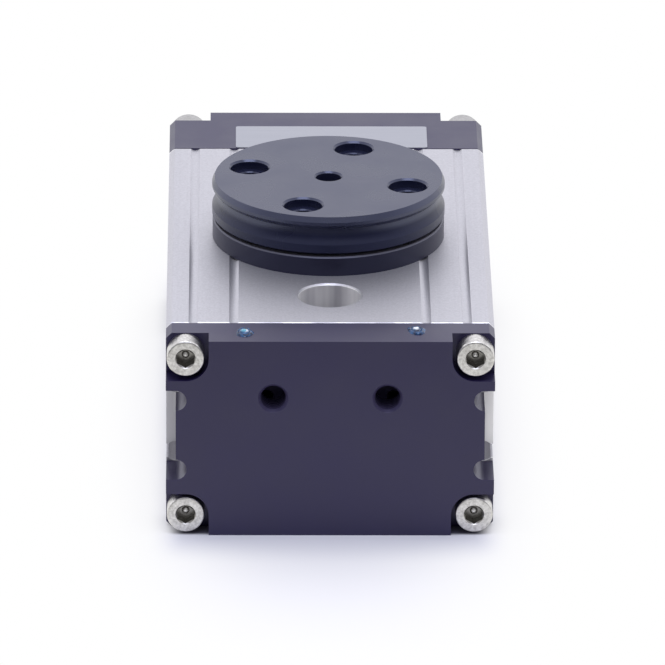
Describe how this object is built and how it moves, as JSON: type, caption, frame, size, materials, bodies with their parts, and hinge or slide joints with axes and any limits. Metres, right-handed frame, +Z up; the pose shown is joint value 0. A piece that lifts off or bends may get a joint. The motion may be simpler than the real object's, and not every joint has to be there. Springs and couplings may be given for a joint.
{
  "type": "rotary module",
  "caption": "Pneumatic rotary module: silver extruded body, black end covers and a grooved turntable flange driven by racks and a pinion inside.",
  "frame": {"origin": "where the output axis meets the base plane", "axes": "+X across the body to the right, +Y along the body to the rear cover, +Z up the output axis"},
  "size_m": [0.076, 0.1501, 0.063],
  "materials": {
    "silver_anodised": "clear anodised extrusion, fine matt",
    "black_anodised": "black anodised, satin",
    "black_turned": "turned, black hard anodised, satin",
    "zinc_steel": "zinc plated steel",
    "dark_steel": "black oxide steel",
    "bright_steel": "polished bearing steel",
    "gear_steel": "ground steel, oiled",
    "black_rubber": "moulded nitrile rubber, matt",
    "bumper_rubber": "cast polyurethane",
    "piston_aluminium": "turned aluminium",
    "guide_plastic": "filled fluoropolymer strip",
    "ferrite": "pressed ferrite",
    "label_foil": "silver printed foil, left bare",
    "blue_lacquer": "brushed-on sealing lacquer"
  },
  "bodies": {
    "base": {"bearing_cover": "black_anodised", "bearing_cover_screws": "zinc_steel", "channel_plugs": "bright_steel", "dust_seal": "black_rubber", "front_bore_seals": "black_rubber", "front_cover": "black_anodised", "front_cover_screws": "zinc_steel", "housing": "silver_anodised", "lower_bearing_outer_ring": "bright_steel", "lower_bearing_shields": "black_rubber", "rear_bore_seals": "black_rubber", "rear_cover": "black_anodised", "rear_cover_screws": "zinc_steel", "stop_bumpers": "bumper_rubber", "stop_lock_nuts": "zinc_steel", "stop_screws": "dark_steel", "upper_bearing_outer_ring": "bright_steel", "upper_bearing_shields": "black_rubber"},
    "rotor": {"output_flange": "black_turned", "pinion_shaft": "gear_steel", "flange_key": "gear_steel", "upper_bearing_inner_ring": "bright_steel", "lower_bearing_inner_ring": "bright_steel"},
    "left_rack_unit": {"left_front_piston": "piston_aluminium", "left_guide_rings": "guide_plastic", "left_magnets": "ferrite", "left_piston_screws": "zinc_steel", "left_piston_seals": "black_rubber", "left_rack": "gear_steel", "left_rear_piston": "piston_aluminium"},
    "right_rack_unit": {"right_front_piston": "piston_aluminium", "right_guide_rings": "guide_plastic", "right_magnets": "ferrite", "right_piston_screws": "zinc_steel", "right_piston_seals": "black_rubber", "right_rack": "gear_steel", "right_rear_piston": "piston_aluminium"},
    "upper_ball_set": {"upper_bearing_balls": "bright_steel", "upper_bearing_cage": "bright_steel"},
    "lower_ball_set": {"lower_bearing_balls": "bright_steel", "lower_bearing_cage": "bright_steel"}
  },
  "joints": [
    {"name": "output_turn", "type": "hinge", "parent": "base", "child": "rotor", "pos_m": [0, 0, 0], "axis": [0, 0, 1], "range_deg": [-71.8, 108.2]},
    {"name": "right_rack_slide", "type": "slide", "parent": "base", "child": "right_rack_unit", "axis": [0, 1, 0], "range_m": [-0.01378, 0.02077]},
    {"name": "left_rack_slide", "type": "slide", "parent": "base", "child": "left_rack_unit", "axis": [0, 1, 0], "range_m": [-0.02078, 0.01379]},
    {"name": "upper_balls_turn", "type": "hinge", "parent": "base", "child": "upper_ball_set", "pos_m": [0, 0, 0], "axis": [0, 0, 1], "range_deg": [-32.41, 48.84]},
    {"name": "lower_balls_turn", "type": "hinge", "parent": "base", "child": "lower_ball_set", "pos_m": [0, 0, 0], "axis": [0, 0, 1], "range_deg": [-31.73, 47.81]}
  ],
  "couplings": [
    {"joint": "output_turn", "follows": "right_rack_slide", "rad_per_m": 90.909},
    {"joint": "left_rack_slide", "follows": "right_rack_slide", "ratio": -1},
    {"joint": "upper_balls_turn", "follows": "right_rack_slide", "rad_per_m": 41.035},
    {"joint": "lower_balls_turn", "follows": "right_rack_slide", "rad_per_m": 40.169}
  ]
}
